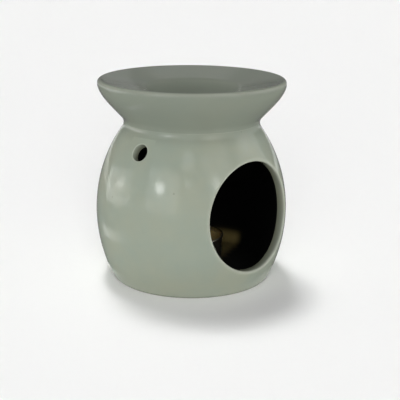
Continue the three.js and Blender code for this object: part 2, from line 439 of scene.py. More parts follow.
@dataclass(frozen=True)
class CeladonGlaze:
    """A glossy grey-green glaze: paler where it runs thinly on edges, which also paints highlights on
    the lip, the holes and the well's edge; deeper where it pools, with painted shade in the neck's
    crease and over the whole dish; faintly mottled, with a few dark iron specks; painted olive shade
    on the holes' cut faces and at the foot; painted near-black shade inside, with a painted patch of
    warm light on the chamber's floor; and a bare buff foot."""

    body: Colour = (0.336, 0.360, 0.284)
    shade: Colour = (0.306, 0.350, 0.290)
    # Paler colour of glaze drawn out on edges, which also paints highlights.
    thin_and_highlight: Colour = (0.490, 0.510, 0.430)
    # Darker colour of pooled glaze and painted shade.
    pool_and_shade: Colour = (0.200, 0.222, 0.182)
    speck: Colour = (0.100, 0.095, 0.075)
    # Olive colour of the painted shade on cut faces and at the foot.
    olive_shade: Colour = (0.120, 0.115, 0.065)
    # Near-black colour of the painted shade inside.
    painted_inside_shade: Colour = (0.001, 0.001, 0.001)
    # Colour of the painted patch of warm light on the inside floor.
    light_patch: Colour = (0.160, 0.125, 0.045)
    clay: Colour = (0.560, 0.480, 0.370)
    roughness: float = 0.09
    specular: float = 0.25
    inside_roughness: float = 0.90
    olive_shade_share: float = 0.6
    thin_and_highlight_share: float = 0.5
    mottle_scale: float = 34.0
    mottle_window: Point = (0.35, 0.65)
    speck_scale: float = 95.0
    speck_share: float = 0.35
    speck_window: Point = (0.07, 0.02)
    rare_window: Point = (0.93, 0.95)

    def material(self) -> Material:
        """Builds the glaze.

        Returns:
            The material.
        """
        s = Shader("celadon_glaze")
        painted_inside_shade, bare = s.painted(Paint.INSIDE_SHADE), s.painted(Paint.BARE)
        # Painted olive shade on the cut faces and at the foot.
        olive_shaded = s.scaled(s.painted(Paint.OLIVE_SHADE), 0.0, self.olive_shade_share)
        colour = s.mixed(olive_shaded, self.glazed_colour(s), self.olive_shade)
        # Inside: painted near-black shade, with a painted patch of warm light on the floor.
        colour = s.mixed(painted_inside_shade, colour, s.mixed(s.painted(Paint.LIGHT_PATCH), self.painted_inside_shade, self.light_patch))
        colour = s.mixed(bare, colour, s.varied(s.noise(900.0, 3.0), self.clay, 0.8))
        gloss = s.scaled(s.noise(60.0), self.roughness - 0.02, self.roughness + 0.03)
        matt = {"Factor": s.maths("MAXIMUM", painted_inside_shade, bare), 2: gloss, 3: self.inside_roughness}
        return s.finish(PRINCIPLED, {
            "Base Color": colour,
            "Roughness": s.node("ShaderNodeMix", matt).outputs[0],
            "IOR": 1.5,
            "Specular IOR Level": self.specular,
            "Normal": self.relief(s, bare),
        })

    def glazed_colour(self, s: Shader) -> Socket:
        """Mixes the colours of the glaze itself.

        Args:
            s: The material's nodes.

        Returns:
            The colour.
        """
        mottle = s.windowed(s.noise(self.mottle_scale, 4.0, 0.6), *self.mottle_window)
        colour = s.mixed(mottle, self.body, self.shade)
        # Darker in the neck's crease and over the dish: pooled glaze and painted shade.
        colour = s.mixed(s.painted(Paint.POOL_AND_SHADE), colour, self.pool_and_shade)
        # Paler where glaze has drawn out on edges, partly a painted highlight.
        colour = s.mixed(s.scaled(s.painted(Paint.THIN), 0.0, self.thin_and_highlight_share), colour, self.thin_and_highlight)
        cells = s.node("ShaderNodeTexVoronoi", {"Vector": s.place(), "Scale": self.speck_scale})
        centre = s.windowed(cells.outputs["Distance"], *self.speck_window)
        chosen = s.node("ShaderNodeSeparateColor", {0: cells.outputs["Color"]}).outputs[0]
        rare = s.windowed(chosen, *self.rare_window)
        specks = s.scaled(s.maths("MULTIPLY", centre, rare), 0.0, self.speck_share)
        return s.mixed(specks, colour, self.speck)

    def relief(self, s: Shader, bare: Socket) -> Socket:
        """Gives the faint waviness of the glaze, and the grain of the bare clay.

        Args:
            s: The material's nodes.
            bare: Where the clay is bare.

        Returns:
            The bumped normal.
        """
        waved = s.bumped(s.noise(38.0, 1.0), 0.06, 2.0 * MM)
        return s.bumped(s.noise(2500.0, 3.0), bare, 0.2 * MM, Normal=waved)


@dataclass(frozen=True)
class PressedFoil:
    """Thin bright aluminium with the fine upright drawing marks of a pressed cup."""

    # Darker and warmer than clean aluminium: a soot tint, with painted shade and a painted brown
    # reflection of the chamber.
    colour: Colour = (0.55, 0.50, 0.40)
    roughness: float = 0.28

    def material(self) -> Material:
        """Builds the foil.

        Returns:
            The material.
        """
        s = Shader("cup_foil")
        upright = s.node("ShaderNodeMapping", {"Vector": s.place(), "Scale": (1.0, 1.0, 0.06)}).outputs[0]
        noise = {"Vector": upright, "Scale": 1600.0, "Detail": 2.0}
        marks = s.node("ShaderNodeTexNoise", noise).outputs["Fac"]
        return s.finish(PRINCIPLED, {
            "Base Color": s.varied(s.noise(220.0), self.colour, 0.86),
            "Metallic": 1.0,
            "Roughness": s.scaled(marks, self.roughness - 0.06, self.roughness + 0.1),
            "Normal": s.bumped(marks, 0.25, 0.1 * MM),
        })


@dataclass(frozen=True)
class PouredWax:
    """Honey-coloured beeswax, a little translucent, with a faint bloom."""

    colour: Colour = (0.56, 0.42, 0.16)
    roughness: float = 0.42

    def material(self) -> Material:
        """Builds the wax.

        Returns:
            The material.
        """
        s = Shader("candle_wax")
        return s.finish(PRINCIPLED, {
            "Base Color": s.varied(s.noise(160.0, 3.0), self.colour, 0.93),
            "Roughness": s.scaled(s.noise(300.0), self.roughness - 0.05, self.roughness + 0.12),
            "Subsurface Weight": 0.5,
            "Subsurface Radius": (0.004, 0.003, 0.002),
            "Subsurface Scale": 1.0,
            "IOR": 1.44,
            "Normal": s.bumped(s.noise(420.0, 3.0), 0.2, 0.2 * MM),
        })


@dataclass(frozen=True)
class WaxedCotton:
    """Braided cotton stiffened with wax, with fine fibres."""

    colour: Colour = (0.74, 0.69, 0.57)

    def material(self) -> Material:
        """Builds the cotton.

        Returns:
            The material.
        """
        s = Shader("wick_cotton")
        fibre = s.noise(6000.0, 3.0)
        return s.finish(PRINCIPLED, {
            "Base Color": s.varied(fibre, self.colour, 0.7),
            "Roughness": 0.8,
            "Sheen Weight": 0.2,
            "Normal": s.bumped(fibre, 0.5, 0.1 * MM),
        })


@dataclass(frozen=True)
class TinnedSteel:
    """Dull tinned steel for the tab under the wax."""

    colour: Colour = (0.55, 0.56, 0.58)

    def material(self) -> Material:
        """Builds the steel.

        Returns:
            The material.
        """
        s = Shader("tab_steel")
        grain = s.noise(900.0, 2.0)
        return s.finish(PRINCIPLED, {
            "Base Color": s.varied(grain, self.colour, 0.85),
            "Metallic": 1.0,
            "Roughness": s.scaled(grain, 0.3, 0.5),
        })


# The ceramic


@dataclass(frozen=True)
class Cutout:
    """An oval hole cut through the chamber wall along a straight axis.

    The window is the part of the wall's grid that is remade round the hole, so that its points
    run in rings from the hole's edge to the rows and columns of the wall.
    """

    turn: float
    rise: float
    height: float
    half_width: float
    half_height: float
    ease: float
    window_columns: int
    window_rows: tuple[int, int]

    def axes(self) -> tuple[Array, Array, Array]:
        """Gives the directions that the hole is cut along.

        Returns:
            The hole's level direction, its upward one, and its axis out of the wall.
        """
        sine, cosine = np.sin(self.turn), np.cos(self.turn)
        across = np.array([cosine, sine, 0.0])
        out = np.array([sine * np.cos(self.rise), -cosine * np.cos(self.rise), np.sin(self.rise)])
        return across, np.cross(out, across), out


@dataclass
class CeramicForm:
    """The sizes that the chamber and the dish share, and the crease of the neck where they meet."""

    belly_radius: float = field(default_factory=lambda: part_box("chamber_body")[1].x)
    height: float = field(default_factory=lambda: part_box("dish")[1].z)
    rim_radius: float = field(default_factory=lambda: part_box("dish")[1].x)
    belly_height: float = 39.5 * MM
    lower_arc: float = 88.0 * MM
    upper_arc: float = 82.9 * MM
    wall: float = 5.0 * MM
    neck_height: float = 90.8 * MM
    neck_fillet: float = 4.8 * MM
    bore_radius: float = 33.5 * MM
    cone_slope: float = 0.93
    columns: int = 180

    def wall_radius(self, height: Array, inset: float = 0.0) -> Array:
        """Radius of the chamber wall: the belly less the arc's radius, plus the arc's reach there.

        Args:
            height: Heights above the foot.
            inset: How far inside the outer face, square to it.

        Returns:
            The radii.
        """
        arc_radius = np.where(height < self.belly_height, self.lower_arc, self.upper_arc)
        reach = np.sqrt((arc_radius - inset) ** 2 - (height - self.belly_height) ** 2)
        return self.belly_radius - arc_radius + reach

    def wall_height(self, radius: float, inset: float) -> float:
        """Height above the belly at which the inset wall has come in to a radius."""
        reach = radius - self.belly_radius + self.upper_arc
        return self.belly_height + np.sqrt((self.upper_arc - inset) ** 2 - reach**2)

    def wall_outline(self, heights: Array, inset: float = 0.0) -> Array:
        """Outline of the wall through the heights."""
        return np.column_stack([self.wall_radius(heights, inset), heights])

    def neck_corner(self) -> Array:
        """The sharp point where the wall's arc and the dish's cone would meet."""
        return np.array([float(self.wall_radius(self.neck_height)), self.neck_height])

    def neck(self) -> tuple[Array, Array]:
        """Works out the neck's crease: a quadratic curve that leaves the wall's arc and meets the cone
        at a tangent to each, cut at its middle, where the seam is.

        Returns:
            The half below the seam and the half above it.
        """
        corner = self.neck_corner()
        cone = np.array([self.cone_slope, 1.0]) / np.hypot(self.cone_slope, 1.0)
        rise = self.neck_height - self.belly_height
        turn = np.arcsin(rise / self.upper_arc) - self.neck_fillet / self.upper_arc
        centre = np.array([self.belly_radius - self.upper_arc, self.belly_height])
        below = centre + self.upper_arc * np.array([np.cos(turn), np.sin(turn)])
        wall = np.array([-np.sin(turn), np.cos(turn)])
        reach = np.linalg.solve(np.column_stack([wall, -cone]), corner - below)[0]
        steps = 12
        curve = eased(below, below + reach * wall, corner + self.neck_fillet * cone, 2 * steps)
        return curve[: steps + 1], curve[steps:]


@dataclass
class ChamberShell:
    """The pear-shaped tealight chamber with its foot, floor, oval opening and vents."""

    form: CeramicForm
    foot_outer: float = 44.6 * MM
    foot_inner: float = 38.0 * MM
    foot_corner_height: float = 3.0 * MM
    foot_corner_reach: float = 1.4 * MM
    foot_ease: float = 0.7 * MM
    recess: float = 1.8 * MM
    floor_top: float = 6.5 * MM
    floor_fillet: float = 6.0 * MM
    floor_fillet_reach: float = 1.5 * MM
    opening_half: Point = (29.8 * MM, 30.5 * MM)
    opening_height: float = 44.0 * MM
    opening_ease: float = 1.8 * MM
    vent_radius: float = 4.8 * MM
    vent_ease: float = 0.5 * MM
    vent_height: float = 79.7 * MM
    vent_turns: tuple[float, ...] = (-83.0, 83.0, 180.0)
    inner_ease: float = 0.4 * MM
    outer_breaks: tuple[float, ...] = (9.3 * MM, 71.0 * MM, 80.0 * MM, 86.9 * MM)
    inner_breaks: tuple[float, ...] = (12.6 * MM, 69.0 * MM, 79.0 * MM, 86.0 * MM)
    break_steps: tuple[int, ...] = (34, 5, 4)
    ring_steps: int = 12
    ease_steps: int = 6
    depth_steps: int = 8
    # Edge line and place of the painted patch of light on the inside floor.
    light_patch_edge: Point = (28.0, 11.0)
    light_patch_place: Point = (30.0 * MM, -4.5 * MM)

    def cutouts(self) -> list[Cutout]:
        """Gives the holes: the opening is cut level, and the vents square to the wall.

        Returns:
            The oval opening at the front, and the vents.
        """
        rise = np.arcsin((self.vent_height - self.form.belly_height) / self.form.upper_arc)
        oval = (self.opening_height, *self.opening_half, self.opening_ease)
        disc = (self.vent_height, self.vent_radius, self.vent_radius, self.vent_ease)
        opening = Cutout(0.0, 0.0, *oval, window_columns=21, window_rows=(0, 2))
        vents = [
            Cutout(np.radians(turn), rise, *disc, window_columns=6, window_rows=(1, 3))
            for turn in self.vent_turns
        ]
        return [opening, *vents]

    def breaks(self, face: WallFace) -> tuple[float, ...]:
        """Heights of the windows' edges on a face, upwards."""
        return self.outer_breaks if face is WallFace.OUTSIDE else self.inner_breaks

    def heights(self, face: WallFace) -> Array:
        """Heights of the wall's rows between its windows' edges, upwards."""
        spans = zip(self.breaks(face), self.breaks(face)[1:], self.break_steps)
        return np.unique(np.concatenate([np.linspace(low, high, n + 1) for low, high, n in spans]))

    def inset(self, face: WallFace) -> float:
        """How far a face is inside the outer one."""
        return 0.0 if face is WallFace.OUTSIDE else self.form.wall

    def on_wall(self, face: WallFace, angle: Array, height: Array) -> tuple[Array, Array]:
        """Places points on a face of the wall, with the normals of its arcs.

        Args:
            face: Which face.
            angle: Angles from -Y towards +X, in radians.
            height: Heights above the foot.

        Returns:
            The points and their normals.
        """
        form = self.form
        inset = self.inset(face)
        radius = form.wall_radius(height, inset)
        arc_radius = np.where(height < form.belly_height, form.lower_arc, form.upper_arc)
        out = (radius - form.belly_radius + arc_radius) / (arc_radius - inset)
        up = (height - form.belly_height) / (arc_radius - inset)
        sine, cosine = np.sin(angle), np.cos(angle)
        points = np.stack([radius * sine, -radius * cosine, height], axis=-1)
        normals = face.value * np.stack([out * sine, -out * cosine, up], axis=-1)
        return points, normals

    def edges(self, cutout: Cutout, face: WallFace) -> tuple[Array, Array]:
        """Finds where a hole meets a face of the wall: points on the section (a cos p, b sin p), grown
        square to itself by an ease, slide along the hole's axis until they are on the wall.

        Args:
            cutout: The hole.
            face: The wall's face.

        Returns:
            The points where the hole's ease begins, and those of its sharp edge.
        """
        around = self.around(cutout)
        half = np.array([cutout.half_width, cutout.half_height])
        section = np.column_stack([np.cos(around), np.sin(around)])
        slope = section / half
        slope /= np.linalg.norm(slope, axis=1, keepdims=True)
        across, up, out = cutout.axes()
        found = []
        for ease in (cutout.ease if face is WallFace.OUTSIDE else self.inner_ease, 0.0):
            points = self.anchor(cutout) + (half * section + ease * slope) @ np.stack([across, up])
            for _ in range(16):
                reach = np.hypot(points[:, 0], points[:, 1])
                points -= (reach - self.form.wall_radius(points[:, 2], self.inset(face)))[:, None] * out
            found.append(points)
        return found[0], found[1]

    def anchor(self, cutout: Cutout) -> Array:
        """The point where a hole's axis meets the outer face."""
        radius = self.form.wall_radius(np.array(cutout.height))
        return np.array([radius * np.sin(cutout.turn), -radius * np.cos(cutout.turn), cutout.height])

    def middle_column(self, cutout: Cutout) -> int:
        """Number of the wall's column that is nearest to a hole's axis."""
        return int(np.rint(cutout.turn / (2 * np.pi) * self.form.columns))

    def window_border(self, cutout: Cutout, face: WallFace) -> tuple[Array, Array]:
        """Goes once round the border of a hole's window, anticlockwise from its lower left corner.

        Args:
            cutout: The hole.
            face: The wall's face.

        Returns:
            The angles and the heights of the border's points, the last a repeat of the first.
        """
        rows = self.window_heights(cutout, face)
        half = cutout.window_columns
        turns = (self.middle_column(cutout) + np.arange(-half, half + 1)) * 2 * np.pi / self.form.columns
        low, high = np.full_like(turns, rows[0]), np.full_like(turns, rows[-1])
        left, right = np.full_like(rows, turns[0]), np.full_like(rows, turns[-1])
        angle = np.concatenate([turns, right[1:], turns[-2::-1], left[-2::-1]])
        height = np.concatenate([low, rows[1:], high[-2::-1], rows[-2::-1]])
        return angle, height

    def window_heights(self, cutout: Cutout, face: WallFace) -> Array:
        """Picks the wall's rows from a window's lower edge to its upper edge.

        Args:
            cutout: The hole.
            face: The wall's face.

        Returns:
            Their heights, upwards.
        """
        low, high = (self.breaks(face)[i] for i in cutout.window_rows)
        rows = self.heights(face)
        return rows[(rows > low - WELD) & (rows < high + WELD)]

    def around(self, cutout: Cutout) -> Array:
        """Finds the section's parameter for each point of the window's border on the outer face.

        Args:
            cutout: The hole.

        Returns:
            Angles in radians, unwrapped.
        """
        angle, height = self.window_border(cutout, WallFace.OUTSIDE)
        radius = self.form.wall_radius(np.array(cutout.height))
        level = (angle - cutout.turn) * radius / cutout.half_width
        return np.unwrap(np.arctan2((height - cutout.height) / cutout.half_height, level))

    def rings(self, cutout: Cutout, face: WallFace) -> Patch:
        """Fills a window from the hole's eased edge out to the window's border, in rings that lie on
        the wall: angle and height go from one to the other in shares that are closer at the edge.

        Args:
            cutout: The hole.
            face: The wall's face.

        Returns:
            The patch.
        """
        edge, _ = self.edges(cutout, face)
        border_angle, border_height = self.window_border(cutout, face)
        edge_angle = np.arctan2(edge[:, 0], -edge[:, 1])
        edge_angle += 2 * np.pi * np.rint((cutout.turn - edge_angle) / (2 * np.pi))
        share = (np.linspace(0.0, 1.0, self.ring_steps + 1) ** 1.6)[:, None]
        angle = (1 - share) * edge_angle + share * border_angle
        height = (1 - share) * edge[:, 2] + share * border_height
        points, normals = self.on_wall(face, angle, height)
        # The inside faces are painted near-black and olive as shade; the outer face is not.
        dark = np.full(angle.shape, 0.0 if face is WallFace.OUTSIDE else 1.0)
        # Paler glaze round the hole's bend, partly a painted highlight.
        paint = {Paint.INSIDE_SHADE: dark, Paint.OLIVE_SHADE: dark, Paint.THIN: self.thinning_and_highlight(cutout, points)}
        return Patch(points, normals, paint)

    def thinning_and_highlight(self, cutout: Cutout, points: Array) -> Array:
        """How much the glaze has thinned, partly a painted highlight: a bell of the distance from the
        crest of a hole's bend.

        Args:
            cutout: The hole.
            points: Rows of points, each row once round the hole.

        Returns:
            A value of 0 to 1 for each point.
        """
        outer, sharp = self.edges(cutout, WallFace.OUTSIDE)
        crest = 0.25 * outer + 0.75 * sharp - 0.25 * cutout.ease * cutout.axes()[2]
        return bell(np.linalg.norm(points - crest, axis=-1), 0.7 * cutout.ease)

    def reveal(self, cutout: Cutout) -> Patch:
        """Makes the cut face of a hole: eased off the outer face, straight through the wall, and eased
        on to the inner face.

        Args:
            cutout: The hole.

        Returns:
            The patch, with rows from the outer face to the inner one.
        """
        out = cutout.axes()[2]
        outer, outer_sharp = self.edges(cutout, WallFace.OUTSIDE)
        inner, inner_sharp = self.edges(cutout, WallFace.INSIDE)
        start = outer_sharp - cutout.ease * out
        stop = inner_sharp + self.inner_ease * out
        points = np.concatenate([
            eased(outer, outer_sharp, start, self.ease_steps),
            straight(start, stop, self.depth_steps)[1:-1],
            eased(stop, inner_sharp, inner, self.ease_steps),
        ])
        along = np.sum((points - self.anchor(cutout)) * out, axis=-1, keepdims=True)
        normals = surface_normals(points, self.anchor(cutout) + along * out)
        normals[0] = self.wall_normals(outer, WallFace.OUTSIDE)
        normals[-1] = self.wall_normals(inner, WallFace.INSIDE)
        depth = np.sum((outer_sharp - points) * out, axis=-1)
        share_deep = depth / np.sum((outer_sharp - inner_sharp) * out, axis=-1)
        row = np.arange(len(points))[:, None] * np.ones_like(depth)
        paint = {
            # Near-black painted shade on the inner ease.
            Paint.INSIDE_SHADE: (row > len(points) - self.ease_steps).astype(float),
            # Olive painted shade, deepening through the cut face.
            Paint.OLIVE_SHADE: smooth_step(0.1, 0.9, share_deep),
            # Paler glaze on the outer bend, partly a painted highlight.
            Paint.THIN: self.thinning_and_highlight(cutout, points),
        }
        return Patch(points, normals, paint)

    def wall_normals(self, points: Array, face: WallFace) -> Array:
        """The wall's normals at points that lie on it."""
        return self.on_wall(face, np.arctan2(points[:, 0], -points[:, 1]), points[:, 2])[1]

    def outside(self) -> Patch:
        """Makes the recess, the foot ring and the outer wall up to the seam, with its windows left open.

        Returns:
            The patch.
        """
        form = self.form
        below, _ = form.neck()
        rows = self.heights(WallFace.OUTSIDE)
        lower = np.linspace(self.foot_corner_height, rows[0], 5)
        foot_top = form.wall_outline(lower[:1])[0]
        inner, recess, ease = self.foot_inner, self.recess, self.foot_ease
        slope_top = inner - recess
        outline = joined(
            straight((0.0, recess), (slope_top - ease, recess), 8),
            eased((slope_top - ease, recess), (slope_top, recess), (slope_top + ease, recess - ease), 4),
            eased((inner - ease, ease), (inner, 0.0), (inner + ease, 0.0), 4),
            straight((inner + ease, 0.0), (self.foot_outer, 0.0), 4),
            eased((self.foot_outer, 0.0), (self.foot_outer + self.foot_corner_reach, 0.0), foot_top, 10),
            form.wall_outline(lower),
            form.wall_outline(rows),
            below,
        )
        height = outline[:, 1]
        under = outline[:, 0] < self.foot_outer + 0.05 * MM
        seam = below[-1, 1]
        paint = {
            Paint.BARE: np.where(under & (height < recess), smooth_step(0.6 * MM, 0.2 * MM, height), 0.0),
            # Painted contact shadow: a narrow dark line just above the floor, all round the foot.
            Paint.OLIVE_SHADE: np.where(under, 0.0, smooth_step(1.1 * MM, 0.5 * MM, height)),
            # Darker towards the neck's crease under the dish: pooled glaze and painted shade.
            Paint.POOL_AND_SHADE: 0.55 * smooth_step(-8.0 * MM, 0.0, height - seam),
        }
        patch = revolved(outline, form.columns, paint)
        patch.keep = self.open_windows(outline, WallFace.OUTSIDE)
        return patch

    def inside(self) -> Patch:
        """Makes the bore of the neck, the inner wall and the floor, with its windows left open.

        Returns:
            The patch.
        """
        form = self.form
        below, _ = form.neck()
        rows = self.heights(WallFace.INSIDE)[::-1]
        floor, fillet = self.floor_top, self.floor_fillet
        wall_foot = (float(form.wall_radius(np.array(floor + fillet), form.wall)), floor + fillet)
        floor_edge = (wall_foot[0] - fillet, floor)
        bore_top, bore_foot = below[-1, 1], form.wall_height(form.bore_radius, form.wall)
        outline = joined(
            straight((form.bore_radius, bore_top), (form.bore_radius, bore_foot), 3),
            form.wall_outline(np.linspace(bore_foot, rows[0], 4), form.wall),
            form.wall_outline(rows, form.wall),
            eased(wall_foot, (wall_foot[0] - self.floor_fillet_reach, floor), floor_edge, 10),
            straight(floor_edge, (0.0, floor), 8),
        )
        # The whole inside is painted near-black as shade.
        dark = np.ones(len(outline))
        patch = revolved(outline, form.columns, {Paint.INSIDE_SHADE: dark, Paint.OLIVE_SHADE: dark})
        # A painted patch of warm light on the inside floor.
        patch.paint[Paint.LIGHT_PATCH] = self.light_patch(patch.points)
        patch.keep = self.open_windows(outline, WallFace.INSIDE)
        return patch

    def light_patch(self, points: Array) -> Array:
        """A painted patch of warm light on the floor beside the candle: on one side of a line, fading
        with the distance from it, and up the foot of the wall.

        Args:
            points: The points of the inner face.

        Returns:
            A value of 0 to 1 for each point.
        """
        line = np.array(self.light_patch_edge) / np.hypot(*self.light_patch_edge)
        aside = points[..., :2] - np.array(self.light_patch_place)
        across = line[0] * aside[..., 1] - line[1] * aside[..., 0]
        spread = smooth_step(-1.0 * MM, 5.0 * MM, across) * smooth_step(30.0 * MM, 12.0 * MM, across)
        return spread * smooth_step(15.0 * MM, 9.0 * MM, points[..., 2]) * (points[..., 0] > 0.0)

    def open_windows(self, outline: Array, face: WallFace) -> Array:
        """Marks the quads of a wall that stay, which are all but those of the windows.

        Args:
            outline: The outline that the wall was turned from.
            face: The wall's face.

        Returns:
            For each quad, whether it stays.
        """
        columns = self.form.columns
        keep = np.ones((len(outline) - 1, columns), bool)
        middle = (outline[:-1] + outline[1:]) / 2
        on_face = np.abs(middle[:, 0] - self.form.wall_radius(middle[:, 1], self.inset(face))) < 0.5 * MM
        for cutout in self.cutouts():
            heights = self.window_heights(cutout, face)
            rows = on_face & (middle[:, 1] > heights[0]) & (middle[:, 1] < heights[-1])
            centre, half = self.middle_column(cutout), cutout.window_columns
            across = np.arange(centre - half, centre + half) % columns
            keep[np.ix_(rows, across)] = False
        return keep

    def neck_face(self) -> Patch:
        """Makes the flat top of the neck, which the dish covers."""
        below, _ = self.form.neck()
        return revolved(straight(below[-1], (self.form.bore_radius, below[-1, 1]), 2), self.form.columns)

    def make(self, glaze: Material) -> Piece:
        """Builds the chamber in place of its CAD solid.

        Args:
            glaze: Its finish.

        Returns:
            The object.
        """
        patches = [self.outside(), self.neck_face(), self.inside()]
        for cutout in self.cutouts():
            patches += [*(self.rings(cutout, face) for face in WallFace), self.reveal(cutout)]
        piece = SkinMesh("glazed_chamber", patches).build(glaze)
        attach(piece, "burner")
        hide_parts("chamber_body")
        return piece


@dataclass
class OilDish:
    """The flared dish: a cone that curves upright, a rounded lip, a sloping flange and a round well,
    with the hollow between cone and well that is open to the chamber."""

    form: CeramicForm
    cone_top: float = 100.7 * MM
    lip_radius: float = 2.0 * MM
    flange_slope: float = np.radians(11.5)
    well_radius: float = 27.0 * MM
    well_ease: float = 2.5 * MM
    well_depth: float = 13.0 * MM
    under_ease: float = 2.0 * MM
    wall: float = 4.5 * MM
    tip_height: float = 109.8 * MM
    tip_ease: float = 4.0 * MM
    # Place of the painted highlight line on the lip, just inside its outer top.
    crest_inset: Point = (0.5 * MM, 0.7 * MM)
    # Share of painted shade over the whole dish, which the light leaves darker than the chamber.
    dish_shade: float = 0.78

    def flange_height(self, radius: float) -> float:
        """Works out the flange's upper face, a line that leaves the lip's arc at a tangent.

        Args:
            radius: Distance from the axis.

        Returns:
            Its height there.
        """
        end = self.form.rim_radius - self.lip_radius * (1 + np.sin(self.flange_slope))
        end_height = self.form.height - self.lip_radius * (1 - np.cos(self.flange_slope))
        return end_height - (end - radius) * np.tan(self.flange_slope)

    def well_sphere(self) -> tuple[float, float]:
        """Radius and centre height of the sphere that the well is a cap of."""
        radius = (self.well_radius**2 + self.well_depth**2) / (2 * self.well_depth)
        return radius, self.flange_height(self.well_radius) - self.well_depth + radius

    def bowl(self, radius: float, edge: float, steps: int) -> Array:
        """Spreads points over a sphere about the well's centre.

        Args:
            radius: Radius of the sphere.
            edge: How far from the axis the points go.
            steps: Number of equal steps.

        Returns:
            The points, from the axis outwards.
        """
        centre, lowest = (0.0, self.well_sphere()[1]), -np.pi / 2
        points = arc(centre, radius, lowest, lowest + np.arcsin(edge / radius), steps)
        points[0, 0] = 0.0
        return points

    def underside(self) -> Patch:
        """Makes the well's underside and the hollow inside the cone, down to the seam.

        Returns:
            The patch.
        """
        form = self.form
        _, above = form.neck()
        drop = self.wall / np.cos(self.flange_slope)
        bore, slope = form.bore_radius, form.cone_slope
        cone_foot = form.neck_height + form.wall * slope / np.hypot(slope, 1.0)
        cone_start = (bore + slope * MM, cone_foot + MM)
        tip = (bore + slope * (self.tip_height - cone_foot), self.tip_height)
        tip_start = (tip[0] - self.tip_ease, self.flange_height(tip[0] - self.tip_ease) - drop)
        tip_stop = (tip[0] - slope * self.tip_ease, tip[1] - self.tip_ease)
        edge = self.well_radius + self.wall / 2
        bowl = self.bowl(self.well_sphere()[0] + self.wall, edge - self.under_ease, 20)
        corner = (edge, self.flange_height(edge) - drop)
        past = (edge + self.under_ease, corner[1] + self.under_ease * np.tan(self.flange_slope))
        outline = joined(
            bowl,
            eased(bowl[-1], corner, past, 6),
            straight(past, tip_start, 6),
            eased(tip_start, tip, tip_stop, 8),
            straight(tip_stop, cone_start, 8),
            eased(cone_start, (bore, cone_foot), (bore, cone_foot - MM), 4),
            straight((bore, cone_foot - MM), (bore, above[0, 1]), 3),
        )
        # The hollow's faces are painted near-black as shade, as inside the chamber.
        return revolved(outline, form.columns, {Paint.INSIDE_SHADE: np.ones(len(outline))})

    def upper_side(self) -> Patch:
        """Makes the dish from the seam up its side, over the lip, along the flange and down the well.

        Returns:
            The patch.
        """
        form = self.form
        _, above = form.neck()
        corner = form.neck_corner()
        cone_end = (corner[0] + form.cone_slope * (self.cone_top - corner[1]), self.cone_top)
        side_corner = (form.rim_radius, self.cone_top + (form.rim_radius - cone_end[0]) / form.cone_slope)
        lip_centre = (form.rim_radius - self.lip_radius, form.height - self.lip_radius)
        lip = arc(lip_centre, self.lip_radius, 0.0, np.pi / 2 + self.flange_slope, 16)
        start = self.well_radius + self.well_ease
        well_start = (start, self.flange_height(start))
        well_corner = (self.well_radius, self.flange_height(self.well_radius))
        well = self.bowl(self.well_sphere()[0], self.well_radius - self.well_ease, 24)[::-1]
        outline = joined(
            above,
            straight(above[-1], cone_end, 8),
            eased(cone_end, side_corner, lip[0], 18),
            lip,
            straight(lip[-1], well_start, 16),
            eased(well_start, well_corner, well[0], 10),
            well,
        )
        radius, height = outline.T
        crest_place = (form.rim_radius - self.crest_inset[0], form.height - self.crest_inset[1])
        crest = np.hypot(radius - crest_place[0], height - crest_place[1])
        well_edge = bell(radius - self.well_radius, 1.5 * MM)
        well_pool_and_shade = smooth_step(30.0 * MM, 20.0 * MM, radius)
        inside = radius < form.rim_radius - 2 * self.lip_radius
        paint = {
            # Painted highlights: a bright line along the lip's crest and a faint one on the well's edge.
            Paint.THIN: 0.6 * bell(crest, 1.0 * MM) + 0.10 * well_edge * inside,
            # Painted shade over the whole dish, deepening to the well, where the glaze also pools.
            Paint.POOL_AND_SHADE: self.dish_shade + (1 - self.dish_shade) * well_pool_and_shade * inside,
        }
        return revolved(outline, form.columns, paint)

    def neck_face(self) -> Patch:
        """Makes the flat underside of the neck, which stands on the chamber."""
        _, above = self.form.neck()
        return revolved(straight((self.form.bore_radius, above[0, 1]), above[0], 2), self.form.columns)

    def make(self, glaze: Material) -> Piece:
        """Builds the dish in place of its CAD solid.

        Args:
            glaze: Its finish.

        Returns:
            The object.
        """
        patches = [self.underside(), self.neck_face(), self.upper_side()]
        piece = SkinMesh("glazed_dish", patches).build(glaze)
        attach(piece, "burner")
        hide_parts("dish")
        return piece


# The tealight


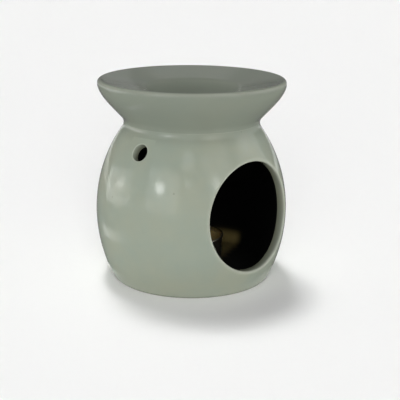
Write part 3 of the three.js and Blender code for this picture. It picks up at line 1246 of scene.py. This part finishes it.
@dataclass
class Tealight:
    """The candle that heats the dish: a pressed cup, wax, a braided wick and its tab."""

    base: float = field(default_factory=lambda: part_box("tealight_cup")[0].z)
    radius: float = field(default_factory=lambda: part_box("tealight_cup")[1].x)
    height: float = field(
        default_factory=lambda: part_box("tealight_cup")[1].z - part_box("tealight_cup")[0].z
    )
    wax_top: float = field(default_factory=lambda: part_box("tealight_wax")[1].z)
    wick_top: float = field(default_factory=lambda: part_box("wick")[1].z)
    foot_radius: float = 17.9 * MM
    corner: float = 1.0 * MM
    bead: float = 0.6 * MM
    foil: float = 0.35 * MM
    flutes: int = 60
    flute_depth: float = 0.07 * MM
    wax_base: float = 0.8 * MM
    wick_base: float = 0.9 * MM
    wick_radius: float = 0.85 * MM
    braid_pitch: float = 5.5 * MM
    cup_columns: int = 240
    wax_columns: int = 120
    wick_steps: tuple[int, int] = (160, 36)

    def cup(self, material: Material) -> Piece:
        """Builds the cup: an outline turned about Z, whose upright wall is moved in and out by a
        cosine of the angle for its fine flutes.

        Args:
            material: Its finish.

        Returns:
            The object.
        """
        top = self.base + self.height
        bead_centre = (self.radius - self.bead, top - self.bead)
        side_top = (bead_centre[0] - 0.1 * MM, top - 2.4 * self.bead)
        foot = (self.foot_radius, self.base + self.corner)
        inner_top = (side_top[0] - self.foil, side_top[1])
        inner_foot = (foot[0] - self.foil, foot[1])
        floor = self.base + self.foil
        outline = joined(
            straight((0.0, self.base), (foot[0] - self.corner, self.base), 6),
            eased((foot[0] - self.corner, self.base), (foot[0], self.base), foot, 6),
            straight(foot, side_top, 12),
            arc(bead_centre, self.bead, -0.42 * np.pi, np.pi, 14),
            straight(inner_top, inner_foot, 12),
            eased(inner_foot, (inner_foot[0], floor), (inner_foot[0] - self.corner, floor), 6),
            straight((inner_foot[0] - self.corner, floor), (0.0, floor), 6),
        )
        patch = revolved(outline, self.cup_columns)
        lift = patch.points[..., 2] - self.base
        amount = smooth_step(1.0 * MM, 3.0 * MM, lift) * smooth_step(14.4 * MM, 12.5 * MM, lift)
        angle = np.arctan2(patch.points[..., 0], -patch.points[..., 1])
        out = patch.points * np.array([1.0, 1.0, 0.0])
        out /= np.maximum(np.linalg.norm(out, axis=-1, keepdims=True), WELD)
        move = self.flute_depth * amount * (np.cos(self.flutes * angle) - 1)
        tilt = self.flutes * self.flute_depth * amount * np.sin(self.flutes * angle) / self.foot_radius
        side = np.sign(np.sum(patch.normals * out, axis=-1))
        round_it = np.stack([-out[..., 1], out[..., 0], np.zeros_like(angle)], axis=-1)
        patch.points = patch.points + move[..., None] * out
        patch.normals = patch.normals + (side * tilt)[..., None] * round_it
        patch.normals /= np.linalg.norm(patch.normals, axis=-1, keepdims=True)
        piece = SkinMesh("foil_cup", [patch]).build(material)
        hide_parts("tealight_cup")
        return piece

    def wax(self, material: Material) -> Piece:
        """Builds the wax: a flat disc whose top sinks a little, and climbs at the wall and the wick.

        Args:
            material: Its finish.

        Returns:
            The object.
        """
        bottom = self.base + self.wax_base
        edge = self.foot_radius - self.foil - 0.1 * MM
        top_edge = edge + 0.35 * MM
        radius = np.linspace(top_edge, self.wick_radius + 0.05 * MM, 60)
        climb = 0.45 * np.exp((radius - top_edge) / (0.7 * MM)) + 0.35 * np.exp(-radius / (1.1 * MM))
        sink = 0.35 * (1 - (radius / top_edge) ** 2)
        top = np.column_stack([radius, self.wax_top + (climb - sink - 0.45) * MM])
        bore = float(radius[-1])
        outline = joined(
            straight((bore, bottom), (edge - self.corner, bottom), 6),
            eased((edge - self.corner, bottom), (edge, bottom), (edge, bottom + self.corner), 4),
            straight((edge, bottom + self.corner), top[0], 6),
            top,
        )
        wall = straight(top[-1], (bore, bottom), 4)
        patches = [revolved(run, self.wax_columns) for run in (outline, wall)]
        piece = SkinMesh("wax_fill", patches).build(material)
        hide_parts("tealight_wax")
        return piece

    def wick(self, material: Material) -> Piece:
        """Builds the wick: a tube that leans a little at its tip, whose radius swells where the strands
        of its braid cross, as the product of a cosine for each way that they wind.

        Args:
            material: Its finish.

        Returns:
            The object.
        """
        bottom = self.base + self.wick_base
        rows, columns = self.wick_steps
        height = np.linspace(bottom, self.wick_top, rows)[:, None]
        angle = np.linspace(0.0, 2 * np.pi, columns + 1)[None, :]
        left = self.wick_top - height
        twist = 2 * np.pi * (height - bottom) / self.braid_pitch
        braid = 1 + 0.10 * np.cos(3 * angle + 3 * twist) * np.cos(3 * angle - 3 * twist)
        tip = np.sqrt(np.clip(1 - np.clip(1 - left / (0.5 * MM), 0.0, 1.0) ** 2, 0.0, 1.0))
        radius = 0.9 * self.wick_radius * braid * tip
        lean = 0.45 * MM * smooth_step(self.wax_top, self.wick_top, height) ** 2
        centre = np.stack(np.broadcast_arrays(lean, 0 * radius, height), axis=-1)
        turned = np.stack([np.sin(angle), -np.cos(angle), 0 * angle], axis=-1)
        points = centre + radius[..., None] * turned
        normals = -surface_normals(points, centre)
        normals[-1] = (0.0, 0.0, 1.0)
        base_points = np.stack([np.zeros_like(points[0]) + (0.0, 0.0, bottom), points[0]])
        base = Patch(base_points, np.broadcast_to((0.0, 0.0, -1.0), base_points.shape).copy())
        piece = SkinMesh("braided_wick", [Patch(points, normals), base]).build(material)
        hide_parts("wick")
        return piece

    def make(self) -> list[Piece]:
        """Builds the candle's pieces and finishes the tab's own CAD solid.

        Returns:
            The pieces.
        """
        pieces = [
            self.cup(PressedFoil().material()),
            self.wax(PouredWax().material()),
            self.wick(WaxedCotton().material()),
        ]
        for piece in pieces:
            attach(piece, "tealight")
        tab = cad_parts["wick_sustainer"]
        tab.data.materials.clear()
        tab.data.materials.append(TinnedSteel().material())
        return [*pieces, tab]


# The studio


class Reach(Enum):
    """What a lamp lights."""

    ALL = "all"
    OBJECT = "object"
    FLOOR = "floor"


@dataclass(frozen=True)
class DistantLamp:
    """A broad distant lamp, which lights the object but isn't mirrored in it.

    Turns are degrees from -Y towards +X, rises are degrees above the floor, and the spread is the
    lamp's apparent size in degrees.
    """

    name: str
    turn: float
    rise: float
    strength: float
    spread: float
    reach: Reach = Reach.ALL

    def add(self) -> Piece:
        """Adds the lamp, turned so that it shines towards the origin.

        Returns:
            The lamp.
        """
        data = bpy.data.lights.new(self.name, "SUN")
        data.energy = self.strength
        data.angle = np.radians(self.spread)
        lamp = placed(self.name, data)
        lamp.matrix_world = facing(direction(self.turn, self.rise)).to_4x4()
        lamp.visible_glossy = False
        return lamp


@dataclass(frozen=True)
class Softbox:
    """A lit panel that only shows mirrored in the glaze.

    It stands at a turn from -Y towards +X, a distance from the axis and a height above the floor,
    faces the axis, and is rolled in its own plane. Angles are degrees. Its light fades over a share
    of its half width at the edges, and rises at a bright core, whose place and reach are in halves
    of the panel.
    """

    name: str
    turn: float
    distance: float
    height: float
    size: Point
    radiance: float
    core: float = 0.0
    core_place: Point = (0.0, 0.0)
    core_reach: float = 0.6
    fade: float = 0.3
    roll: float = 0.0

    def add(self) -> Piece:
        """Adds the panel.

        Returns:
            The panel.
        """
        data = bpy.data.lights.new(self.name, "AREA")
        data.shape = "RECTANGLE"
        data.size, data.size_y = self.size
        data.energy = np.pi * self.size[0] * self.size[1]
        self.grade(data)
        panel = placed(self.name, data)
        place = self.distance * direction(self.turn, 0.0) + Vector((0.0, 0.0, self.height))
        turned = facing(place - Vector(PANEL_AIM)) @ Matrix.Rotation(np.radians(self.roll), 3, "Z")
        panel.matrix_world = Matrix.Translation(place) @ turned.to_4x4()
        panel.visible_camera = panel.visible_diffuse = panel.visible_transmission = False
        return panel

    def grade(self, data: bpy.types.Light) -> None:
        """Shades the panel: a flat level that fades at the edges, and a round core that fades out.

        Args:
            data: The panel's light.
        """
        data.use_nodes = True
        s = NodeTree(data.node_tree)
        place = s.node("ShaderNodeNewGeometry").outputs["Parametric"]
        halves = s.node("ShaderNodeSeparateXYZ", {0: place}).outputs[:2]
        halves = [s.maths("MULTIPLY_ADD", half, 2.0, -1.0) for half in halves]
        farthest = s.maths("MAXIMUM", *[s.maths("ABSOLUTE", half) for half in halves])
        flat = s.ramp(s.maths("SUBTRACT", 1.0, farthest), self.fade, self.radiance)
        aside = [s.maths("SUBTRACT", half, centre) for half, centre in zip(halves, self.core_place)]
        distance = s.maths("SQRT", s.maths("ADD", *[s.maths("MULTIPLY", part, part) for part in aside]))
        glow = s.ramp(s.maths("SUBTRACT", self.core_reach, distance), self.core_reach, self.core)
        s.tree.links.new(s.maths("ADD", flat, glow), s.tree.nodes["Emission"].inputs["Strength"])


def direction(turn: float, rise: float) -> Vector:
    """The unit direction at a turn from -Y towards +X and a rise above the floor, in degrees."""
    turned, risen = np.radians(turn), np.radians(rise)
    return Vector((np.sin(turned) * np.cos(risen), -np.cos(turned) * np.cos(risen), np.sin(risen)))


def sheet(name: str, points: list, faces: list, material: Material) -> Piece:
    """Adds a flat thing of the studio, made of given points and faces.

    Args:
        name: Its name.
        points: Places of its corners.
        faces: Each face's corners, counted in the points.
        material: Its look.

    Returns:
        The object in the scene.
    """
    mesh = bpy.data.meshes.new(name)
    mesh.from_pydata(points, [], faces)
    mesh.materials.append(material)
    return placed(name, mesh)


def facing(away: Vector) -> Matrix:
    """The rotation that turns a lamp's beam to come from a direction, with its Y axis upright."""
    return away.to_track_quat("Z", "Y").to_matrix()


@dataclass
class Studio:
    """The camera at the photograph's place, the pale floor and the soft lights."""

    camera_distance: float = 550.7 * MM
    camera_height: float = 199.5 * MM
    camera_turn: float = -44.1
    camera_pitch: float = 15.81
    camera_yaw: float = 0.526
    camera_roll: float = -0.5
    sensor: float = 36.0
    focal_pixels: float = 981.6
    image_size: int = 400
    floor_half: float = 12.0
    floor_scattered: Colour = (0.82, 0.82, 0.81)
    floor_seen: Colour = (0.905, 0.905, 0.90)
    card_radii: Point = (0.052, 0.70)
    card_corners: int = 64
    card_level: float = 0.2
    room_strength: float = 0.12
    lamps: tuple[DistantLamp, ...] = (
        DistantLamp("left_window", -130.0, 12.0, 1.15, 40.0, Reach.OBJECT),
        DistantLamp("front_window", -44.0, 12.0, 1.55, 40.0),
        DistantLamp("right_window", 5.0, 12.0, 0.88, 40.0, Reach.OBJECT),
        DistantLamp("far_left_window", -170.0, 8.0, 0.98, 40.0, Reach.OBJECT),
        DistantLamp("far_right_window", 85.0, 8.0, 1.38, 40.0, Reach.OBJECT),
        DistantLamp("back_lamp", 152.0, 69.0, 0.72, 12.0),
        DistantLamp("floor_lamp", 160.0, 73.0, 1.04, 14.0, Reach.FLOOR),
        DistantLamp("floor_window", -44.0, 25.0, 1.88, 30.0, Reach.FLOOR),
    )
    softboxes: tuple[Softbox, ...] = (
        Softbox("near_left_panel", -141, 0.38, 0.07, (0.33, 0.16), 1.6, 4.5, (0.2, 0.2), 0.5, 0.12, 17),
        Softbox("low_left_panel", -131.0, 0.10, 0.005, (0.085, 0.019), 1.15, fade=0.35),
        Softbox("left_panel", -80.0, 0.90, 0.285, (0.69, 0.56), 2.0, 17.0, (-0.13, 0.1), 0.42, 0.10),
        Softbox("high_panel", -49.0, 1.5, 1.38, (0.47, 0.50), 2.2, fade=0.06),
        Softbox("low_panel", -48.0, 1.5, 0.65, (0.18, 0.16), 3.0, fade=0.2),
        Softbox("right_panel", -5.0, 1.5, 0.77, (1.15, 1.35), 1.35, 6.0, (-0.3, -0.2), 0.45, 0.12),
        Softbox("far_right_panel", 54.0, 1.5, 0.72, (1.45, 0.95), 1.2, 2.0, (-0.1, 0.4), 0.5, 0.06),
        Softbox("back_panel", 136.0, 1.5, 0.78, (0.90, 0.85), 0.09, fade=0.2),
        Softbox("near_back_panel", 136.2, 0.5, 0.395, (0.042, 0.085), 0.22, fade=0.1),
        Softbox("near_back_left_panel", 141.3, 0.5, 0.225, (0.045, 0.180), 0.12, fade=0.1),
    )

    def camera(self) -> None:
        """Makes the camera: it stands on a circle round the axis, looks down by its pitch and beside
        the axis by its yaw, and is rolled a little."""
        data = bpy.data.cameras.new("camera")
        data.sensor_width = self.sensor
        data.lens = self.focal_pixels / self.image_size * self.sensor
        data.clip_start, data.clip_end = 0.01, 100.0
        turns = (
            ("Z", self.camera_turn - self.camera_yaw),
            ("X", 90.0 - self.camera_pitch),
            ("Z", -self.camera_roll),
        )
        turned = Matrix.Identity(3)
        for axis, angle in turns:
            turned = turned @ Matrix.Rotation(np.radians(angle), 3, axis)
        place = self.camera_distance * direction(self.camera_turn, 0.0)
        place += Vector((0.0, 0.0, self.camera_height))
        camera = placed("camera", data)
        camera.matrix_world = Matrix.Translation(place) @ turned.to_4x4()
        bpy.context.scene.camera = camera

    def floor(self) -> Piece:
        """Makes the plain pale floor, which shows to the eye, and mirrored, brighter than it is to
        the light that it scatters.

        Returns:
            The floor.
        """
        s = Shader("pale_floor")
        rays = s.node("ShaderNodeLightPath").outputs
        mirrored = s.maths("MAXIMUM", rays["Is Glossy Ray"], rays["Is Transmission Ray"])
        share = s.maths("MAXIMUM", rays["Is Camera Ray"], mirrored)
        colour = s.mixed(share, self.floor_scattered, self.floor_seen)
        half = self.floor_half
        corners = [(-half, -half, 0.0), (half, -half, 0.0), (half, half, 0.0), (-half, half, 0.0)]
        floor = sheet("floor", corners, [(0, 1, 2, 3)], s.finish(DIFFUSE, {"Color": colour}))
        return floor

    def card(self) -> None:
        """Lays a dark card round the object, a flat ring that shows only in mirrors: it gives the
        gloss of a white set dark edges, as a photographer's card does."""
        s = Shader("dark_card")
        angle = np.linspace(0.0, 2 * np.pi, self.card_corners + 1)[:-1]
        ring = np.column_stack([np.sin(angle), -np.cos(angle), np.zeros_like(angle)])
        points = np.vstack([radius * ring for radius in self.card_radii]) + (0.0, 0.0, MM)
        inner = np.arange(self.card_corners)
        following = np.roll(inner, -1)
        faces = np.column_stack([inner, inner + len(inner), following + len(inner), following])
        material = s.finish(DIFFUSE, {"Color": (*3 * (self.card_level,), 1.0)})
        card = sheet("card", points.tolist(), faces.tolist(), material)
        card.visible_camera = card.visible_diffuse = False
        card.visible_transmission = card.visible_shadow = False

    def room(self) -> None:
        """Surrounds the scene with an even soft light."""
        world = bpy.data.worlds.new("soft_room")
        world.use_nodes = True
        background = world.node_tree.nodes["Background"]
        background.inputs["Color"].default_value = (1.0, 1.0, 1.0, 1.0)
        background.inputs["Strength"].default_value = self.room_strength
        bpy.context.scene.world = world

    def aim(self, lamp: Piece, reach: Reach, floor: Piece) -> None:
        """Keeps a lamp off the floor, or to it.

        Args:
            lamp: The lamp.
            reach: What it lights.
            floor: The floor.
        """
        if reach is Reach.ALL:
            return
        lit = bpy.data.collections.new(lamp.name + "_reach")
        lit.objects.link(floor)
        state = "EXCLUDE" if reach is Reach.OBJECT else "INCLUDE"
        lit.collection_objects[0].light_linking.link_state = state
        lamp.light_linking.receiver_collection = lit

    def make(self) -> None:
        """Sets up the whole studio."""
        self.camera()
        floor = self.floor()
        self.card()
        self.room()
        for softbox in self.softboxes:
            softbox.add()
        for lamp in self.lamps:
            self.aim(lamp.add(), lamp.reach, floor)
        bpy.context.scene.view_settings.view_transform = "Standard"


def main() -> None:
    """Builds the studio and every piece."""
    logging.basicConfig(level=logging.INFO, format="%(message)s")
    Studio().make()
    glaze = CeladonGlaze().material()
    form = CeramicForm()
    pieces = [ChamberShell(form).make(glaze), OilDish(form).make(glaze), *Tealight().make()]
    for piece in pieces:
        mesh = piece.data
        LOG.info("%s: %d points, %d faces", piece.name, len(mesh.vertices), len(mesh.polygons))


if __name__ == "__main__":
    main()
